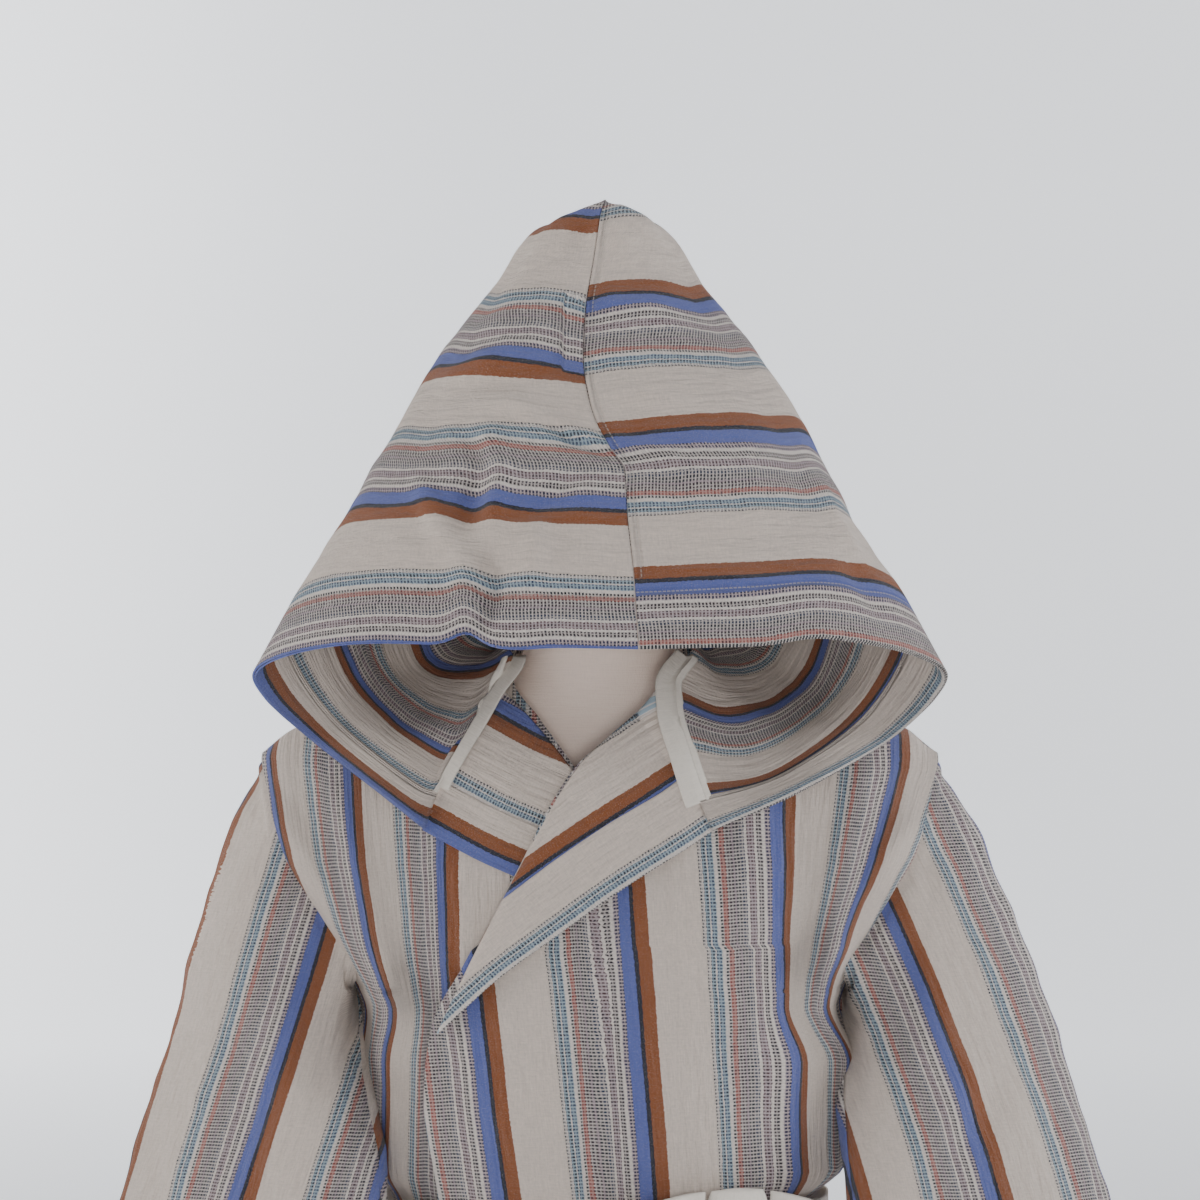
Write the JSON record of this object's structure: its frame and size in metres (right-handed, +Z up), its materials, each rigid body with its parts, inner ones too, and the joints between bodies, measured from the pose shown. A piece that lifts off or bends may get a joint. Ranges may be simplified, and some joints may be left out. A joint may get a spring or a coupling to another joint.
{
  "type": "hooded bathrobe on dress form",
  "caption": "Striped cotton hooded bathrobe with a wrapped front and a tied belt, worn open-necked on a limbless linen dress form with a pole and a round base.",
  "frame": {"origin": "centre of the round base's underside, on the floor under the pole", "axes": "+Z up, the front of the robe faces -Y, the wearer's left is +X"},
  "size_m": [0.7865, 0.3957, 1.7753],
  "materials": {
    "striped_cotton": "matte",
    "cream_cotton": "matte",
    "linen": "matte",
    "stand": "satin"
  },
  "bodies": {
    "root": {"front_left": "striped_cotton", "front_right": "striped_cotton", "back": "striped_cotton", "lapel_left": "striped_cotton", "lapel_right": "striped_cotton", "hood_left": "striped_cotton", "hood_right": "striped_cotton", "sleeve_left": "striped_cotton", "sleeve_right": "striped_cotton", "neck_tape_left": "cream_cotton", "neck_tape_right": "cream_cotton", "belt_band": "cream_cotton", "belt_knot": "cream_cotton", "belt_loop_left": "cream_cotton", "belt_loop_right": "cream_cotton", "belt_end_left": "cream_cotton", "belt_end_right": "cream_cotton", "form_torso": "linen", "stand_pole": "stand", "stand_base": "stand"}
  },
  "joints": []
}
